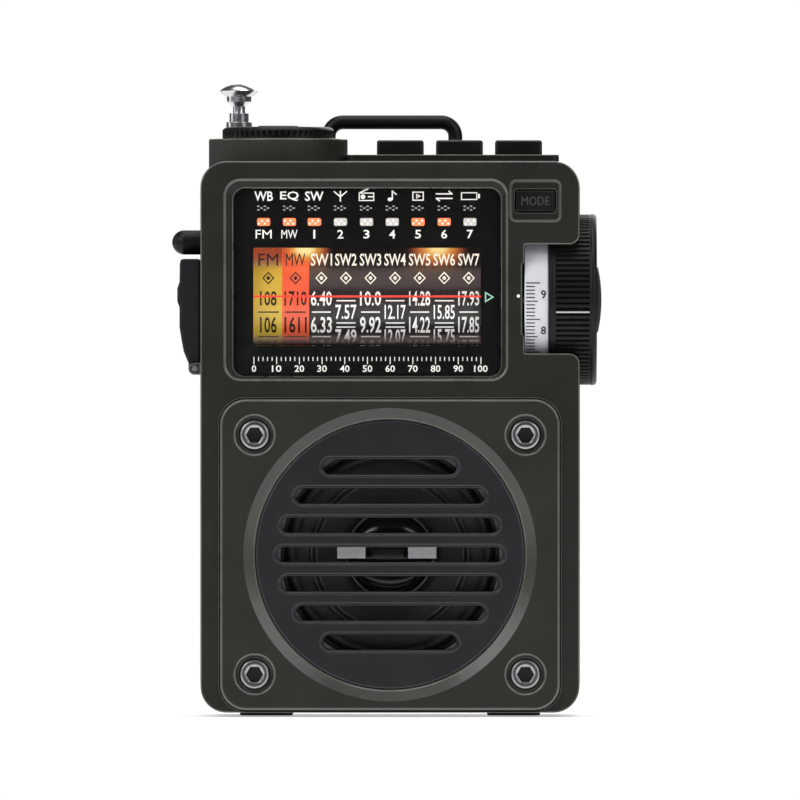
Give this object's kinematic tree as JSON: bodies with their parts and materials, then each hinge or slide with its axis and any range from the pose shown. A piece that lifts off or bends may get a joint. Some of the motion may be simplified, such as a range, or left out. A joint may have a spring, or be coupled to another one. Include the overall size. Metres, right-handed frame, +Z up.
{
  "type": "pocket radio receiver",
  "caption": "Pocket multi-band radio in a dark green housing: side tuning dial with a turning band drum, volume dial, keys, pull-out antenna, bail and a round speaker grille.",
  "frame": {"origin": "centre of the base, on the plane of the feet's undersides", "axes": "+X to the right seen from the front, -Y towards the front (speaker side), +Z up"},
  "size_m": [0.0668, 0.0333, 0.0985],
  "materials": {
    "housing": "satin army green, fine moulded grain",
    "panel": "satin army green, slightly lighter",
    "grille": "matt blue-black",
    "black_plastic": "satin black",
    "rubber": "matt black",
    "dial_white": "satin white, printed scale",
    "drum": "printed band scale, lit from above",
    "mask": "gloss black print",
    "lens": "clear",
    "pointer": "red",
    "chrome": "polished",
    "steel": "plain steel",
    "dark_steel": "blackened steel",
    "brass": "plain brass",
    "board": "green circuit board",
    "parts": "black mouldings",
    "cone": "glossy film cone",
    "lamp": "amber lamp",
    "ferrite": "sintered grey",
    "copper": "wound copper wire",
    "battery": "plain can"
  },
  "bodies": {
    "housing": {"front_shell": "housing", "rear_shell": "housing", "speaker_panel": "panel", "grille_disc": "grille", "speaker_basket": "steel", "speaker_cone": "cone", "speaker_magnet": "steel", "window_lens": "lens", "scale_mask": "mask", "pointer_line": "pointer", "tuning_pot": "parts", "tuning_frame": "steel", "shaft_bush": "brass", "key_deck": "housing", "turret_collar": "housing", "volume_pot": "parts", "key_board": "board", "key_switches": "parts", "front_board": "board", "light_guides": "lamp", "mode_switch": "parts", "scale_lamps": "lamp", "main_board": "board", "board_parts": "parts", "battery": "battery", "cover_pin": "steel", "usb_socket": "steel", "card_slot": "steel", "port_board": "board", "headphone_jack": "parts", "strap_post": "black_plastic", "antenna_tube": "black_plastic", "bail_pins": "steel", "ferrite_rod": "ferrite", "ferrite_coil": "copper", "panel_screws": "dark_steel", "housing_screws": "steel", "feet": "rubber"},
    "tuning_dial": {"band_drum": "drum", "tuning_shaft": "steel", "logging_ring": "dial_white", "tuning_knob": "black_plastic", "knob_cap": "black_plastic"},
    "volume_dial": {"volume_knob": "black_plastic", "volume_shaft": "steel"},
    "left_key": {"top_key_left": "rubber"},
    "middle_key": {"top_key_middle": "rubber"},
    "right_key": {"top_key_right": "rubber"},
    "mode_button": {"mode_key": "grille"},
    "door": {"battery_door": "housing"},
    "cover": {"port_cover": "rubber"},
    "antenna_lower": {"antenna_stage_1": "chrome"},
    "antenna_middle": {"antenna_stage_2": "chrome"},
    "antenna_upper": {"antenna_stage_3": "chrome"},
    "bail": {"carry_bail": "black_plastic"}
  },
  "joints": [
    {"name": "tuning_turn", "type": "hinge", "parent": "housing", "child": "tuning_dial", "pos_m": [0, -0.0036, 0.0646], "axis": [1, 0, 0], "range_deg": [-246, 9]},
    {"name": "volume_turn", "type": "hinge", "parent": "housing", "child": "volume_dial", "pos_m": [-0.0174, -0.002, 0.0896], "axis": [0, 0, 1], "range_deg": [-140, 140]},
    {"name": "left_key_press", "type": "slide", "parent": "housing", "child": "left_key", "axis": [0, 0, -1], "range_m": [0, 0.0005], "stiffness_N_per_m": 2400, "springref_m": -0.0001},
    {"name": "middle_key_press", "type": "slide", "parent": "housing", "child": "middle_key", "axis": [0, 0, -1], "range_m": [0, 0.0005], "stiffness_N_per_m": 2400, "springref_m": -0.0001},
    {"name": "right_key_press", "type": "slide", "parent": "housing", "child": "right_key", "axis": [0, 0, -1], "range_m": [0, 0.0005], "stiffness_N_per_m": 2400, "springref_m": -0.0001},
    {"name": "mode_button_press", "type": "slide", "parent": "housing", "child": "mode_button", "axis": [0, 1, 0], "range_m": [0, 0.0005], "stiffness_N_per_m": 2400, "springref_m": -0.0001},
    {"name": "door_lift", "type": "slide", "parent": "housing", "child": "door", "axis": [0, 1, 0], "range_m": [0, 0.02]},
    {"name": "cover_hinge", "type": "hinge", "parent": "housing", "child": "cover", "pos_m": [-0.03037, -0.0036, 0.05383], "axis": [0, -1, 0], "range_deg": [0, 110]},
    {"name": "antenna_pull_1", "type": "slide", "parent": "housing", "child": "antenna_lower", "axis": [0, 0, 1], "range_m": [0, 0.066]},
    {"name": "antenna_pull_2", "type": "slide", "parent": "antenna_lower", "child": "antenna_middle", "axis": [0, 0, 1], "range_m": [0, 0.066]},
    {"name": "antenna_pull_3", "type": "slide", "parent": "antenna_middle", "child": "antenna_upper", "axis": [0, 0, 1], "range_m": [0, 0.066]},
    {"name": "bail_swing", "type": "hinge", "parent": "housing", "child": "bail", "pos_m": [0.0003, 0.0136, 0.088], "axis": [-1, 0, 0], "range_deg": [0, 95]}
  ]
}
